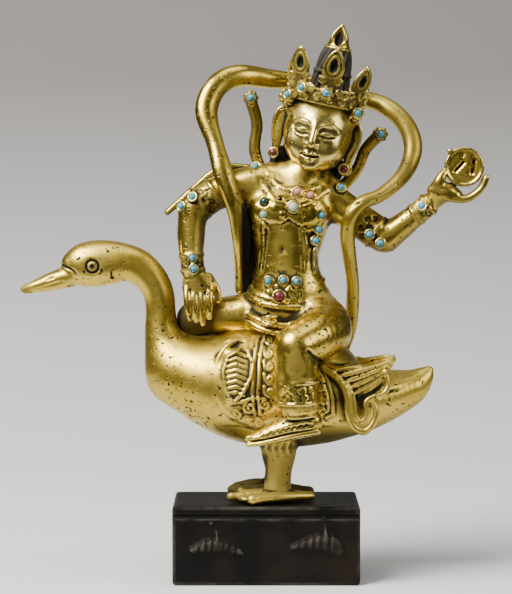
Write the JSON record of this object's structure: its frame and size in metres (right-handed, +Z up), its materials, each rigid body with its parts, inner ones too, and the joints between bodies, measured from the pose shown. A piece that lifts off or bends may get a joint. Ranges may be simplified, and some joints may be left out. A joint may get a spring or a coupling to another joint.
{
  "type": "gilt bronze statuette of a crowned figure riding a goose",
  "caption": "Small gilt figure in crown, scarf and inlaid jewels, seated astride a standing goose and holding up a disc, on a plain dark oblong block.",
  "frame": {"origin": "middle of the block's flat underside", "axes": "+Z up, the goose faces -X and the rider faces -Y"},
  "size_m": [0.1333, 0.0514, 0.1581],
  "materials": {
    "gilding": "worn fire gilding with brown patina in the recesses",
    "dark_metal": "black-brown patina, satin",
    "turquoise": "polished opaque stone",
    "garnet": "polished dark red stone",
    "dark_green_glass": "polished dark green glass",
    "pale_glass": "dull pale green glass",
    "coral": "satin pink coral",
    "crystal": "cloudy crystal over foil"
  },
  "bodies": {
    "root": {"block": "dark_metal", "goose": "gilding", "rider": "gilding", "scarf": "gilding", "turquoise_crown_left": "turquoise", "turquoise_crown_middle": "turquoise", "turquoise_crown_side": "turquoise", "turquoise_rosette_right": "turquoise", "garnet_earring_left": "garnet", "garnet_earring_right": "garnet", "turquoise_ribbon_left": "turquoise", "turquoise_ribbon_right": "turquoise", "turquoise_shoulder_left": "turquoise", "turquoise_shoulder_right": "turquoise", "green_glass_chest": "dark_green_glass", "pale_glass_chest": "pale_glass", "coral_chest_left": "coral", "coral_chest_right": "coral", "crystal_pendant": "crystal", "turquoise_chest_top": "turquoise", "turquoise_chest_middle": "turquoise", "turquoise_chest_low": "turquoise", "turquoise_belt_left": "turquoise", "turquoise_belt_middle": "turquoise", "turquoise_belt_right": "turquoise", "garnet_belt": "garnet", "turquoise_armlet_left_high": "turquoise", "turquoise_armlet_left_low": "turquoise", "turquoise_wristlet_left_high": "turquoise", "turquoise_wristlet_left_low": "turquoise", "turquoise_armlet_right_high": "turquoise", "turquoise_armlet_right_low": "turquoise", "turquoise_wristlet_right": "turquoise"}
  },
  "joints": []
}
